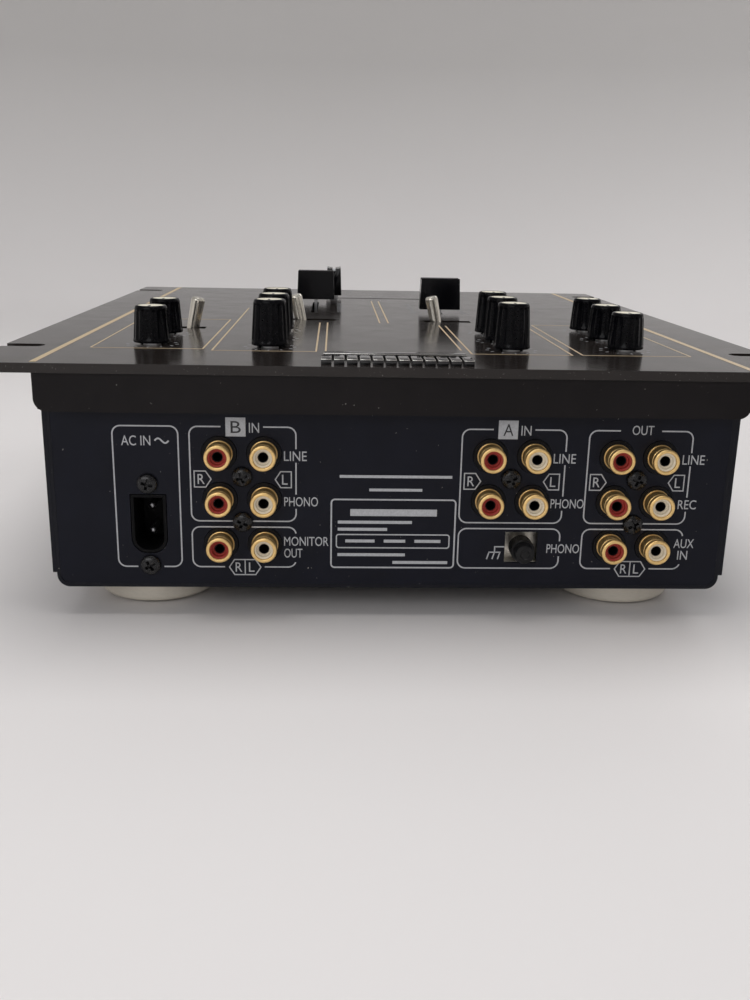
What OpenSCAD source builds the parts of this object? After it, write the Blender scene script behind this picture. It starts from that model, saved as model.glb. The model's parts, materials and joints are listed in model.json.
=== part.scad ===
// Two-channel DJ mixer: a flat top panel over a shallow metal case, with knobs, faders and
// selector levers on top, phono sockets, ground terminal and mains inlet on the rear panel,
// and phone jacks with the power button on the front panel.
// The origin is on the standing surface under the middle of the top panel.
// +Z is up, -Y is the user's side, +Y is the rear panel, +X is the user's right.

/* [Top panel] */
// Width of the top panel
plate_w = 260; // [256:1:270]
// Depth of the top panel
plate_d = 304; // [300:1:316]
// Thickness of the top panel
plate_t = 3; // [2:0.5:4]
// Radius of the panel's corners
plate_corner_r = 2.5; // [1:0.5:6]
// Width of the open mounting notches
notch_w = 6.5; // [5:0.5:8]
// Depth of the notches from the side edge
notch_depth = 13.5; // [10:0.5:15]
// Place of the rear notches along the depth
notch_rear_y = 112; // [100:1:120]
// Place of the front notches along the depth
notch_front_y = -127; // [-135:1:-110]

/* [Case] */
// Width of the case over its side covers
case_w = 220; // [218:1:226]
// Depth of the case from front panel to rear panel
case_d = 288; // [280:1:290]
// Height from the underside of the pan to the top of the top panel
case_h = 74; // [70:1:90]
// Sheet thickness of pan, panels and skirt
sheet_t = 1.2; // [1:0.1:1.5]
// Thickness of the side covers
cover_t = 1.3; // [1:0.1:1.6]
// Gap from the pan's underside up to the side covers
cover_lift = 4.9; // [3:0.1:8]
// Outer bend radius of the pan
pan_bend_r = 4; // [2:0.5:6]
// Depth of the skirt below the top of the top panel
skirt_drop = 15; // [12:1:18]
// How far the skirt stands out from the rear and front panels
skirt_proud = 6.7; // [5:0.1:7]

/* [Feet] */
// Height of the feet with their pads
foot_h = 10.5; // [8:0.5:14]
// Diameter of a foot
foot_d = 41; // [36:1:44]
// Distance of the feet from the middle, across
foot_x = 81; // [75:0.5:85]
// Distance of the feet from the middle, along the depth
foot_y = 113.5; // [105:0.5:118]
// How far the rubber pad stands out of the foot
pad_proud = 0.8; // [0.5:0.1:1.5]

/* [Knobs] */
// Diameter of a knob at its base
knob_d = 12.6; // [11:0.1:14]
// Height of the channel knobs above the panel
tall_knob_h = 16.2; // [15:0.1:18]
// Height of the outer knobs above the panel
short_knob_h = 13.2; // [12:0.1:15]
// Gap under a knob
knob_gap = 0.8; // [0.5:0.1:1.5]
// Distance of the channel knobs from the middle
channel_x = 41.5; // [38:0.5:44]
// Rear row of the channel knobs
channel_rear_y = 108.5; // [104:0.5:112]
// Distance between the channel knobs
channel_pitch = 24; // [20:0.5:25]
// Distance of the outer knobs from the middle
outer_x = 82; // [78:0.5:88]
// Rear row of the outer knobs
outer_rear_y = 105; // [100:0.5:110]
// Distance between the outer knobs
outer_pitch = 29; // [27:0.5:30]
// Diameter of the potentiometer shafts
shaft_d = 6; // [5:0.5:6]

/* [Faders] */
// Distance of the channel faders from the middle
fader_x = 29; // [27:0.5:32]
// Rear end of the channel faders' travel
fader_rear_y = -18; // [-20:0.5:-14]
// Travel of every fader
fader_travel = 45; // [40:1:48]
// Place of the crossfader along the depth
crossfader_y = -94.5; // [-98:0.5:-90]
// Where the crossfader's cap stands, across
crossfader_x = 20; // [-20:0.5:20]
// Length of a fader cap
cap_l = 18.6; // [16:0.1:20]
// Thickness of a fader cap at its foot
cap_d = 8; // [7:0.1:9]
// Height of a fader cap
cap_h = 14.3; // [12:0.1:16]
// Gap between the panel and a fader cap
cap_gap = 2.1; // [1.5:0.1:4]

/* [Levers] */
// Distance of the input levers from the middle
lever_x = 29; // [27:0.5:31]
// Place of the input levers along the depth
lever_y = 17.5; // [14:0.5:20]
// Place of the cue lever, across
cue_lever_x = 80; // [78:0.5:82]
// Place of the cue lever along the depth
cue_lever_y = 54; // [52:0.5:56]
// Depth of a lever's pivot below the top of the panel
pivot_drop = 23; // [21:0.5:24]
// Lean of a lever at each end of its travel
lever_tilt = 12.3; // [10:0.1:13]
// Height of a lever's tip above the panel
lever_h = 10.6; // [9:0.1:13]
// How much taller the cue lever is
cue_lever_extra = 1.2; // [0:0.1:2]

/* [Rear connectors] */
// Spacing of the two sockets of a stereo pair
jack_pitch = 14.1; // [14:0.1:15]
// Spacing of the rows of sockets
jack_row_pitch = 15; // [14:0.5:16]
// Top row of sockets below the top of the panel
jack_row_drop = 29; // [28:0.5:30]
// How far the phono sockets stand out
jack_proud = 7.1; // [6:0.1:7.3]
// Outer diameter of a phono socket's barrel
jack_d = 8.4; // [8.2:0.1:8.6]
// Middle of the channel B sockets
jacks_b_x = 48.5; // [47:0.5:50]
// Middle of the channel A sockets
jacks_a_x = -37.5; // [-39:0.5:-36]
// Middle of the output sockets
jacks_out_x = -78.2; // [-80:0.1:-77]
// Middle of the mains inlet
inlet_x = 78.4; // [77:0.1:80]
// Middle of the mains inlet below the top of the panel
inlet_drop = 52.5; // [51:0.5:54]
// Width of the inlet's mouth
inlet_w = 9.2; // [9:0.1:9.6]
// Height of the inlet's mouth
inlet_h = 17.5; // [17:0.1:18]
// Middle of the ground terminal
ground_x = -42; // [-43:0.5:-41]
// Middle of the ground terminal below the top of the panel
ground_drop = 59.7; // [59:0.1:60]
// Width of the ground terminal's square window
ground_window = 10.6; // [10:0.1:11]
// Diameter of the ground terminal's thumb nut
nut_d = 7.8; // [7:0.1:8.4]
// How far the thumb nut stands out
nut_proud = 7.7; // [6:0.1:7.8]

/* [Front connectors] */
// Place of the headphone jack, across
phones_x = 85; // [70:1:92]
// Place of the microphone jack, across
mic_x = -85; // [-92:1:-70]
// Height of the jacks and the button above the standing surface
front_z = 44; // [36:1:50]
// Place of the power button, across
power_x = 52; // [40:1:60]

/* [Hidden] */
$fn = 48;

// Levels from the standing surface up
pan_z = foot_h;
plate_top = pan_z + case_h;
plate_z = plate_top - plate_t;
skirt_z = plate_top - skirt_drop;
cover_z = pan_z + cover_lift;
board_t = 1.6;
board_gap = 12;
board_top = plate_z - board_gap;
rear_y = case_d / 2;
front_y = -case_d / 2;
pan_half = case_w / 2 - cover_t;
wall_in = pan_half - sheet_t;
skirt_half = case_w / 2 + 0.3;
fader_front_y = fader_rear_y - fader_travel;
skirt_corner_r = 4;
// Running clearance of a shaft or pin in its bore, on the diameter
running = 0.1;
// Hole or pocket that a fixed part passes through, on the width
clearance = 0.6;
// How far a cutting shape runs past the face that it cuts
e = 0.5;

// Screws
screw_d = 3;
screw_hole_d = 3.2;
screw_seat_depth = 9;
case_screw_head = [6, 2.2];
rear_screw_head = [6.6, 2];
side_screw_z = plate_top - 40.3;
side_screw_y = 114;

// Radii of the rubber ring and height of its seat in the foot
pad_in = 7;
pad_out = 15;
pad_seat = 2;
// Radius of the recess for the foot's screw and height of the screw's seat
recess_r = 6;
recess_h = 5;

// Potentiometers and knobs
pot_size = [10, 11, 7];
bush_d = shaft_d + 1.4;
bush_below_top = 1;
shaft_end_gap = 4;
knob_taper = 0.9;
knob_edge = 0.6;
knob_foot_edge = 0.4;

// Faders
slot_w = 3;
slot_l = fader_travel + 8;
channel_size = [9, 60];
channel_wall = 1.5;
carriage_size = [4.8, 7, 4];
stem_size = [1.4, 4];
stem_in_cap = 8;
cap_taper = 0.5;
dip_r = 14;
dip_depth = 0.7;

// Selector levers
lever_slot = [20, 6.4];
switch_size = [23, 9];
switch_below_pivot = 6;
pocket_size = [16, 4.8];
pivot_d = 2.4;
boss_d = 6.8;
boss_l = 3.8;
shank_d = 3.6;
bat_d = [4.7, 5.3];
bat_overlap = 2.6;

// Rear sockets and inlet
housing_depth = 12;
housing_margin = 6.6;
barrel_root = 8;
barrel_wall = 0.9;
flange_d = jack_d + 1.2;
collar_d = jack_d + 2.6;
collar_proud = 0.3;
centre_d = 6.4;
pin_hole_d = 3.3;
inlet_depth = 15;
inlet_pin_d = 2.4;
inlet_pin_gap = 8.6;
inlet_z = plate_top - inlet_drop;
ground_z = plate_top - ground_drop;
ground_stud_d = 4;

// Front jacks and button
jack_bore_d = 6.5;
jack_bush_d = 11.2;
jack_body = [16, 28, 16];
button_d = 9;
button_stem_d = 5;
switch_body = [14, 18, 14];

// Middles of the knobs, as [x, y]
function channel_knob(side, row) = [side * channel_x, channel_rear_y - row * channel_pitch];
function outer_knob(side, row) = [side * outer_x, outer_rear_y - row * outer_pitch];
channel_knobs = [for (side = [-1, 1], row = [0 : 2]) channel_knob(side, row)];
outer_knobs = concat([for (row = [0 : 2]) outer_knob(-1, row)],
                     [for (row = [0 : 1]) outer_knob(1, row)]);
all_knobs = concat(channel_knobs, outer_knobs);
lever_places = [[-lever_x, lever_y], [lever_x, lever_y], [cue_lever_x, cue_lever_y]];

// Pairs of rear sockets, as [middle of the pair, row from the top]
socket_pairs = [
    [jacks_b_x, 0], [jacks_b_x, 1], [jacks_b_x, 2],
    [jacks_a_x, 0], [jacks_a_x, 1],
    [jacks_out_x, 0], [jacks_out_x, 1], [jacks_out_x, 2]
];
function socket_z(row) = plate_top - jack_row_drop - row * jack_row_pitch;
// Screws that hold the inlet and the rear sockets, as [x, z]
rear_screw_places = [
    [inlet_x, inlet_z + 13.5], [inlet_x, inlet_z - 13.7],
    [jacks_b_x, socket_z(0.5)], [jacks_b_x, socket_z(1.5)],
    [jacks_a_x, socket_z(0.5)],
    [jacks_out_x, socket_z(0.5)], [jacks_out_x, socket_z(1.5)]
];

// A flat slab with round corners, centred on the origin, standing on z = 0
module slab(w, d, h, r) {
    translate([-w / 2 + r, -d / 2, 0]) cube([w - 2 * r, d, h]);
    translate([-w / 2, -d / 2 + r, 0]) cube([w, d - 2 * r, h]);
    for (sx = [-1, 1], sy = [-1, 1])
        translate([sx * (w / 2 - r), sy * (d / 2 - r), 0]) cylinder(h = h, r = r);
}

// A block given by its low corner and its high corner
module block(low, high) {
    translate(low) cube(high - low);
}

// A round bar along +Y from a point
module bar_y(x, y, z, d, l) {
    translate([x, y, z]) rotate([-90, 0, 0]) cylinder(h = l, d = d);
}

// A dome-headed screw, its head's seat at z = 0 and its shank going down
module screw(head, shank_l) {
    head_r = head[0] / 2;
    rotate_extrude()
        polygon([[0, -shank_l], [screw_d / 2, -shank_l], [screw_d / 2, 0], [head_r, 0],
                 [head_r, head[1] * 0.4], [head_r * 0.72, head[1] * 0.85],
                 [head_r * 0.36, head[1]], [0, head[1]]]);
}

// ---- Case -------------------------------------------------------------------------------

module top_plate() {
    color("#25252a") difference() {
        translate([0, 0, plate_z]) slab(plate_w, plate_d, plate_t, plate_corner_r);
        for (side = [-1, 1], y = [notch_front_y, notch_rear_y]) {
            inner = plate_w / 2 - notch_depth + notch_w / 2;
            translate([side * inner, y, plate_z - e]) cylinder(h = plate_t + 2 * e, d = notch_w);
            translate([side * (inner + plate_w / 2) / 2, y, plate_top - plate_t / 2])
                cube([plate_w / 2 - inner + 2 * e, notch_w, plate_t + 2 * e], center = true);
        }
        for (p = all_knobs)
            translate([p.x, p.y, plate_z - e]) cylinder(h = plate_t + 2 * e, d = bush_d + clearance);
        for (side = [-1, 1])
            translate([side * fader_x, (fader_rear_y + fader_front_y) / 2, plate_top])
                cube([slot_w, slot_l, 3 * plate_t], center = true);
        translate([0, crossfader_y, plate_top]) cube([slot_l, slot_w, 3 * plate_t], center = true);
        for (p = lever_places)
            translate([p.x, p.y, plate_top]) cube([lever_slot.x, lever_slot.y, 3 * plate_t], center = true);
    }
}

module skirt_frame() {
    half_d = rear_y + skirt_proud;
    color("#1f1c1d") difference() {
        block([-skirt_half, -half_d, skirt_z], [skirt_half, half_d, plate_z]);
        block([-skirt_half + sheet_t, -half_d + sheet_t, skirt_z - e],
              [skirt_half - sheet_t, half_d - sheet_t, plate_z + e]);
        for (side = [-1, 1], end = [-1, 1])
            translate([side * (skirt_half - skirt_corner_r), end * half_d, skirt_z + skirt_corner_r])
                difference() {
                    translate([side * skirt_corner_r, 0, -skirt_corner_r])
                        cube(2 * skirt_corner_r, center = true);
                    rotate([90, 0, 0])
                        cylinder(h = 3 * skirt_corner_r, r = skirt_corner_r, center = true);
                }
    }
}

// Outline of the pan's bend, seen from the rear
module pan_outline(half, low, bend) {
    translate([-half + bend, low]) square([2 * (half - bend), 2 * bend]);
    translate([-half, low + bend]) square([2 * half, plate_z - low - bend]);
    for (side = [-1, 1]) translate([side * (half - bend), low + bend]) circle(r = bend);
}

module bottom_pan() {
    color("#232228") difference() {
        translate([0, rear_y, 0]) rotate([90, 0, 0]) linear_extrude(height = case_d)
            difference() {
                pan_outline(pan_half, pan_z, pan_bend_r);
                pan_outline(wall_in, pan_z + sheet_t, pan_bend_r - sheet_t);
            }
        for (sx = [-1, 1], sy = [-1, 1]) {
            translate([sx * foot_x, sy * foot_y, pan_z - e])
                cylinder(h = sheet_t + 2 * e, d = screw_hole_d);
            translate([sx * pan_half, sy * side_screw_y, side_screw_z]) rotate([0, 90, 0])
                cylinder(h = 4 * sheet_t, d = screw_hole_d, center = true);
        }
    }
}

module side_cover(side) {
    cover_top = skirt_z - 0.3;
    color("#26262b") difference() {
        translate([side * (pan_half + cover_t / 2), 0, (cover_z + cover_top) / 2])
            cube([cover_t, case_d, cover_top - cover_z], center = true);
        for (sy = [-1, 1])
            translate([side * pan_half, sy * side_screw_y, side_screw_z]) rotate([0, 90, 0])
                cylinder(h = 4 * cover_t, d = screw_hole_d, center = true);
    }
}

module side_cover_left() { side_cover(-1); }
module side_cover_right() { side_cover(1); }

// Outline of the sheet that closes one end of the pan
module end_sheet() {
    bend = pan_bend_r - sheet_t + 0.4;
    linear_extrude(height = sheet_t) pan_outline(wall_in, pan_z + sheet_t, bend);
}

// Mouth of the mains inlet: square at the top, round at the bottom corners
module inlet_mouth(w, h, l) {
    r = w * 0.45;
    translate([inlet_x - w / 2, 0, inlet_z - h / 2 + r]) cube([w, l, h - r]);
    translate([inlet_x - w / 2 + r, 0, inlet_z - h / 2]) cube([w - 2 * r, l, 2 * r]);
    for (s = [-1, 1]) bar_y(inlet_x + s * (w / 2 - r), 0, inlet_z - h / 2 + r, 2 * r, l);
}

module rear_panel() {
    hole_d = collar_d + 0.2;
    color("#1c1e26") difference() {
        translate([0, rear_y, 0]) rotate([90, 0, 0]) end_sheet();
        for (p = socket_pairs, s = [-0.5, 0.5])
            bar_y(p[0] + s * jack_pitch, rear_y - 2 * sheet_t, socket_z(p[1]), hole_d, 4 * sheet_t);
        for (p = rear_screw_places)
            bar_y(p[0], rear_y - 2 * sheet_t, p[1], screw_hole_d, 4 * sheet_t);
        translate([0, rear_y - 2 * sheet_t, 0])
            inlet_mouth(inlet_w + 2.4, inlet_h + 2.4, 4 * sheet_t);
        translate([ground_x, rear_y, ground_z])
            cube([ground_window, 4 * sheet_t, ground_window], center = true);
    }
}

module front_panel() {
    color("#1c1e26") difference() {
        translate([0, front_y + sheet_t, 0]) rotate([90, 0, 0]) end_sheet();
        for (x = [mic_x, phones_x])
            bar_y(x, front_y - sheet_t, front_z, jack_bush_d + clearance, 4 * sheet_t);
        bar_y(power_x, front_y - sheet_t, front_z, button_d + 0.8, 4 * sheet_t);
    }
}

// Plain raised trim near the rear edge: a bar and a row of equal slats
module badge() {
    bar = [46, 4, 1.6];
    slat = [3.2, 8.3, 1.8];
    slats = 12;
    pitch = 4;
    color("#b8b6b0") {
        translate([-bar.x / 2, rear_y - 15, plate_top]) cube(bar);
        for (i = [0 : slats - 1])
            translate([(i - (slats - 1) / 2) * pitch - slat.x / 2, rear_y - 5, plate_top])
                cube(slat);
    }
}

// ---- Feet and screws ----------------------------------------------------------------------

// Round foot with a rounded lower edge, a groove for the pad and a recess for its screw
module feet() {
    rim = foot_d / 2;
    hole_r = screw_hole_d / 2;
    color("#cfc6b2") for (sx = [-1, 1], sy = [-1, 1])
        translate([sx * foot_x, sy * foot_y, 0]) rotate_extrude($fn = 64)
            polygon([[hole_r, foot_h], [rim - 0.8, foot_h], [rim, foot_h - 0.8], [rim, 2.8],
                     [rim - 0.8, 1.5], [rim - 2.2, pad_proud], [pad_out, pad_proud],
                     [pad_out, pad_seat], [pad_in, pad_seat], [pad_in, pad_proud],
                     [recess_r, pad_proud], [recess_r, recess_h], [hole_r, recess_h]]);
}

module foot_pads() {
    color("#3a3834") for (sx = [-1, 1], sy = [-1, 1])
        translate([sx * foot_x, sy * foot_y, 0]) difference() {
            cylinder(h = pad_seat, r = pad_out - 0.2);
            translate([0, 0, -e]) cylinder(h = pad_seat + 2 * e, r = pad_in + 0.2);
        }
}

// Dome screws of one size: four in the side covers, four up through the feet
module case_screws() {
    color("#8d8d90") {
        for (sx = [-1, 1], sy = [-1, 1]) {
            translate([sx * case_w / 2, sy * side_screw_y, side_screw_z])
                rotate([0, sx * 90, 0]) screw(case_screw_head, 9);
            translate([sx * foot_x, sy * foot_y, recess_h])
                rotate([180, 0, 0]) screw(case_screw_head, 9);
        }
    }
}

module rear_screws() {
    color("#17171a") for (p = rear_screw_places)
        translate([p[0], rear_y, p[1]]) rotate([-90, 0, 0]) screw(rear_screw_head, 8);
}

// ---- Rear connectors --------------------------------------------------------------------

// Moulded blocks behind the rear panel, one for each group of sockets, with collars through it
module rca_housings() {
    seat = rear_y - sheet_t;
    half_w = jack_pitch / 2 + housing_margin;
    color("#141416") difference() {
        for (g = [[jacks_b_x, 0, 2], [jacks_a_x, 0, 1], [jacks_out_x, 0, 2]]) {
            block([g[0] - half_w, seat - housing_depth, socket_z(g[2]) - housing_margin],
                  [g[0] + half_w, seat, socket_z(g[1]) + housing_margin]);
            for (row = [g[1] : g[2]], s = [-0.5, 0.5])
                bar_y(g[0] + s * jack_pitch, seat - e, socket_z(row), collar_d,
                      sheet_t + e + collar_proud);
        }
        for (p = socket_pairs, s = [-0.5, 0.5])
            bar_y(p[0] + s * jack_pitch, seat - barrel_root, socket_z(p[1]), jack_d - 0.2,
                  barrel_root + 2 * sheet_t);
        for (p = rear_screw_places)
            bar_y(p[0], seat - screw_seat_depth, p[1], screw_d + running, 12);
    }
}

// Gold barrel of a phono socket: a flange on the panel and a tube that stands out
module rca_shells() {
    root_y = rear_y - sheet_t - barrel_root;
    l = rear_y + jack_proud - root_y;
    seat = rear_y + collar_proud - root_y;
    r = jack_d / 2;
    in_r = r - barrel_wall;
    color("#c9a659") for (p = socket_pairs, s = [-0.5, 0.5])
        translate([p[0] + s * jack_pitch, root_y, socket_z(p[1])]) rotate([-90, 0, 0])
            rotate_extrude() polygon([
                [in_r, 0.1], [r - 0.15, 0.1], [r - 0.15, seat], [flange_d / 2, seat],
                [flange_d / 2, seat + 0.7], [r, seat + 0.7], [r, l - 0.5], [r - 0.5, l],
                [in_r + 0.3, l], [in_r, l - 0.3]]);
}

// Coloured plastic centre of a socket, with the hole for the plug's pin
module socket_centre(x, row) {
    root_y = rear_y - sheet_t - barrel_root + 0.1;
    l = rear_y + jack_proud - 0.6 - root_y;
    floor_l = 3;
    hole_r = pin_hole_d / 2;
    translate([x, root_y, socket_z(row)]) rotate([-90, 0, 0]) rotate_extrude()
        polygon([[0, 0], [centre_d / 2, 0], [centre_d / 2, l], [hole_r + 0.3, l],
                 [hole_r, l - 0.3], [hole_r, floor_l], [0, floor_l]]);
}

module rca_red_inserts() {
    color("#a5342a") for (p = socket_pairs) socket_centre(p[0] + jack_pitch / 2, p[1]);
}

module rca_white_inserts() {
    color("#e9e2cf") for (p = socket_pairs) socket_centre(p[0] - jack_pitch / 2, p[1]);
}

// Mains inlet for a two-pin figure-eight lead
module ac_inlet() {
    seat = rear_y - sheet_t;
    color("#161618") difference() {
        union() {
            block([inlet_x - 8.5, seat - inlet_depth - 2, inlet_z - 11.5],
                  [inlet_x + 8.5, seat, inlet_z + 10.5]);
            block([inlet_x - 5, seat - 2.5, inlet_z - 17], [inlet_x + 5, seat, inlet_z + 17]);
            translate([0, seat - e, 0]) inlet_mouth(inlet_w + 2, inlet_h + 2, sheet_t + e);
        }
        translate([0, seat - inlet_depth, 0]) inlet_mouth(inlet_w, inlet_h, inlet_depth + 4);
        for (i = [0, 1])
            bar_y(rear_screw_places[i][0], seat - screw_seat_depth, rear_screw_places[i][1],
                  screw_d + running, 12);
        for (s = [-1, 1])
            bar_y(inlet_x, seat - inlet_depth - 3, inlet_z + s * inlet_pin_gap / 2,
                  inlet_pin_d + running, 6);
    }
}

module ac_pins() {
    seat = rear_y - sheet_t;
    color("#bdbdc0") for (s = [-1, 1])
        bar_y(inlet_x, seat - inlet_depth - 6, inlet_z + s * inlet_pin_gap / 2, inlet_pin_d, 16);
}

// Ground terminal: a bent bracket behind the square window, with a threaded stud
module ground_post() {
    seat = rear_y - sheet_t;
    half = ground_window / 2 + 0.8;
    depth = 5;
    wall = 1;
    color("#c4c2bc") {
        difference() {
            block([ground_x - half, seat - depth, ground_z - half],
                  [ground_x + half, seat, ground_z + half]);
            block([ground_x - half - e, seat - depth + wall, ground_z - half + wall],
                  [ground_x + half + e, seat + e, ground_z + half - wall]);
        }
        bar_y(ground_x, seat - depth + wall / 2, ground_z, ground_stud_d, 11.5);
    }
}

// Thumb nut: a grip against the bracket and a narrower closed end
module ground_nut() {
    grip_y = rear_y - 1.6;
    grip_l = 6;
    color("#131315") difference() {
        union() {
            bar_y(ground_x, grip_y, ground_z, nut_d, grip_l);
            bar_y(ground_x, grip_y + grip_l - e, ground_z, nut_d - 1.3,
                  rear_y + nut_proud - grip_y - grip_l + e);
        }
        bar_y(ground_x, grip_y - e, ground_z, ground_stud_d + running, grip_l + 2);
    }
}

// ---- Inside -----------------------------------------------------------------------------

module control_board() {
    color("#2f6b3a") difference() {
        block([-98, -112, board_top - board_t], [98, 122, board_top]);
        for (p = lever_places)
            translate([p.x, p.y, board_top])
                cube([switch_size.x + 1.6, switch_size.y + 1.6, 3 * board_t], center = true);
    }
}

// Potentiometers with a threaded bush that reaches up through the top panel
module pot_bodies() {
    color("#9a9aa0") for (p = all_knobs) translate([p.x, p.y, board_top]) difference() {
        union() {
            translate([-pot_size.x / 2, -pot_size.y / 2, 0]) cube(pot_size);
            translate([0, 0, pot_size.z - e])
                cylinder(h = plate_top - bush_below_top - board_top - pot_size.z + e, d = bush_d);
        }
        translate([0, 0, 1]) cylinder(h = case_h, d = shaft_d + running);
    }
}

// Shaft of one potentiometer
module shaft(p, h) {
    foot_z = board_top + 1.3;
    color("#b5b5ba") translate([p.x, p.y, foot_z])
        cylinder(h = plate_top + h - shaft_end_gap - foot_z, d = shaft_d);
}

// Slide potentiometer: a metal channel between board and panel, along +Y
module fader_channel() {
    difference() {
        translate([-channel_size.x / 2, -channel_size.y / 2, board_top])
            cube([channel_size.x, channel_size.y, plate_z - board_top]);
        translate([-channel_size.x / 2 + channel_wall, -slot_l / 2 - e, board_top + 1])
            cube([channel_size.x - 2 * channel_wall, slot_l + 2 * e, plate_z - board_top]);
    }
}

module fader_bodies() {
    color("#8c8c92") {
        for (side = [-1, 1])
            translate([side * fader_x, (fader_rear_y + fader_front_y) / 2, 0]) fader_channel();
        translate([0, crossfader_y, 0]) rotate([0, 0, 90]) fader_channel();
    }
}

// Carriage and stem of a slide potentiometer that travels along +Y
module fader_stem() {
    color("#c8c8cc") {
        carriage_z = board_top + 1.4;
        stem_z = carriage_z + carriage_size.z - e;
        translate([-carriage_size.x / 2, -carriage_size.y / 2, carriage_z]) cube(carriage_size);
        translate([-stem_size.x / 2, -stem_size.y / 2, stem_z])
            cube([stem_size.x, stem_size.y, plate_top + cap_gap + stem_in_cap - stem_z]);
    }
}

// Bar along +Y, w wide, with sides that lean in towards its top
module tapered_bar(w, l) {
    translate([0, l / 2, 0]) rotate([90, 0, 0]) linear_extrude(height = l)
        polygon([[-w / 2, 0], [w / 2, 0], [w / 2 - cap_taper, cap_h], [-w / 2 + cap_taper, cap_h]]);
}

// Fader cap whose long side lies along X: slightly tapered, with a shallow finger dip on top
module fader_cap() {
    color("#121214") translate([0, 0, plate_top + cap_gap]) difference() {
        intersection() {
            tapered_bar(cap_l, cap_d);
            rotate([0, 0, 90]) tapered_bar(cap_d, cap_l);
        }
        translate([-cap_l, 0, cap_h + dip_r - dip_depth]) rotate([0, 90, 0])
            cylinder(h = 2 * cap_l, r = dip_r, $fn = 96);
        translate([0, 0, stem_in_cap / 2])
            cube([stem_size.y + 0.2, stem_size.y + 0.2, stem_in_cap + 0.2], center = true);
    }
}

// Two-way selector switch: a box with an open pocket and a pivot pin along Y
module lever_switch() {
    body = switch_size / 2;
    pocket = pocket_size / 2;
    translate([0, 0, plate_top - pivot_drop]) {
        difference() {
            block([-body.x, -body.y, -switch_below_pivot], [body.x, body.y, pivot_drop - plate_t]);
            block([-pocket.x, -pocket.y, -switch_below_pivot + 1.5],
                  [pocket.x, pocket.y, pivot_drop]);
        }
        bar_y(0, -pocket.y - 1, 0, pivot_d, pocket_size.y + 2);
    }
}

module lever_switches() {
    color("#3c3c40") for (p = lever_places) translate([p.x, p.y, 0]) lever_switch();
}

// Lever of a selector switch, leaning to one side: a boss on the pin, a shank and a round bat
module lever(p, lean, extra = 0) {
    tip = (pivot_drop + lever_h + extra) / cos(lever_tilt);
    bat_z = pivot_drop / cos(lever_tilt) - bat_overlap;
    bat_l = tip - bat_z;
    tip_r = bat_d[1] / 2;
    color("#d6cfbe") translate([p.x, p.y, plate_top - pivot_drop])
        rotate([0, lean * lever_tilt, 0]) difference() {
            union() {
                bar_y(0, -boss_l / 2, 0, boss_d, boss_l);
                cylinder(h = bat_z + e, d = shank_d);
                translate([0, 0, bat_z]) rotate_extrude()
                    polygon([[0, 0], [bat_d[0] / 2, 0], [tip_r, bat_l - 1.2],
                             [tip_r - 0.4, bat_l - 0.3], [tip_r - 1.1, bat_l], [0, bat_l]]);
            }
            bar_y(0, -boss_l, 0, pivot_d + running, 2 * boss_l);
        }
}

module jack_board() {
    seat = rear_y - sheet_t - housing_depth;
    color("#2f6b3a")
        block([-94, seat - board_t, pan_z + 6], [66, seat, board_top - board_t - 1]);
}

// Mains transformer: laminated core with the winding through it
module transformer() {
    z = pan_z + sheet_t;
    color("#77716a") translate([62, 51, z]) {
        block([-22, -11, 0], [22, 11, 38]);
        block([-15, -18, 6], [15, 18, 32]);
    }
}

module phone_jacks() {
    inner = front_y + sheet_t;
    bush_l = 3;
    nut_l = 2;
    nut_w = 15;
    color("#1b1b1d") for (x = [mic_x, phones_x]) {
        difference() {
            union() {
                translate([x - jack_body.x / 2, inner, front_z - jack_body.z / 2]) cube(jack_body);
                bar_y(x, front_y - bush_l, front_z, jack_bush_d, bush_l + sheet_t + e);
            }
            bar_y(x, front_y - bush_l - 1, front_z, jack_bore_d, 31);
        }
        difference() {
            bar_y(x, front_y - nut_l, front_z, nut_w, nut_l);
            bar_y(x, front_y - nut_l - e, front_z, jack_bush_d + running, nut_l + 2 * e);
        }
    }
}

module power_switch() {
    inner = front_y + sheet_t;
    color("#2a2a2e") difference() {
        translate([power_x - switch_body.x / 2, inner, front_z - switch_body.z / 2])
            cube(switch_body);
        bar_y(power_x, inner - e, front_z, button_d + 1, 7);
        bar_y(power_x, inner, front_z, button_stem_d + clearance, 14);
    }
}

module power_button() {
    color("#1d1d20") {
        bar_y(power_x, front_y - 4.5, front_z, button_d, 8.5);
        bar_y(power_x, front_y + 3.5, front_z, button_stem_d, 6);
    }
}

// ---- Knobs ------------------------------------------------------------------------------

// A knob that narrows upwards, with a blind bore for its shaft
module knob(p, h) {
    foot_r = knob_d / 2;
    top_r = foot_r - knob_taper;
    bore_r = shaft_d / 2 + 0.02;
    bore_top = h - shaft_end_gap + 0.1;
    color("#0f0f11") translate([p.x, p.y, plate_top]) rotate_extrude()
        polygon([[bore_r, knob_gap], [foot_r - knob_foot_edge, knob_gap],
                 [foot_r, knob_gap + knob_foot_edge], [top_r, h - knob_edge],
                 [top_r - knob_edge, h], [0, h], [0, bore_top], [bore_r, bore_top]]);
}

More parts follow.
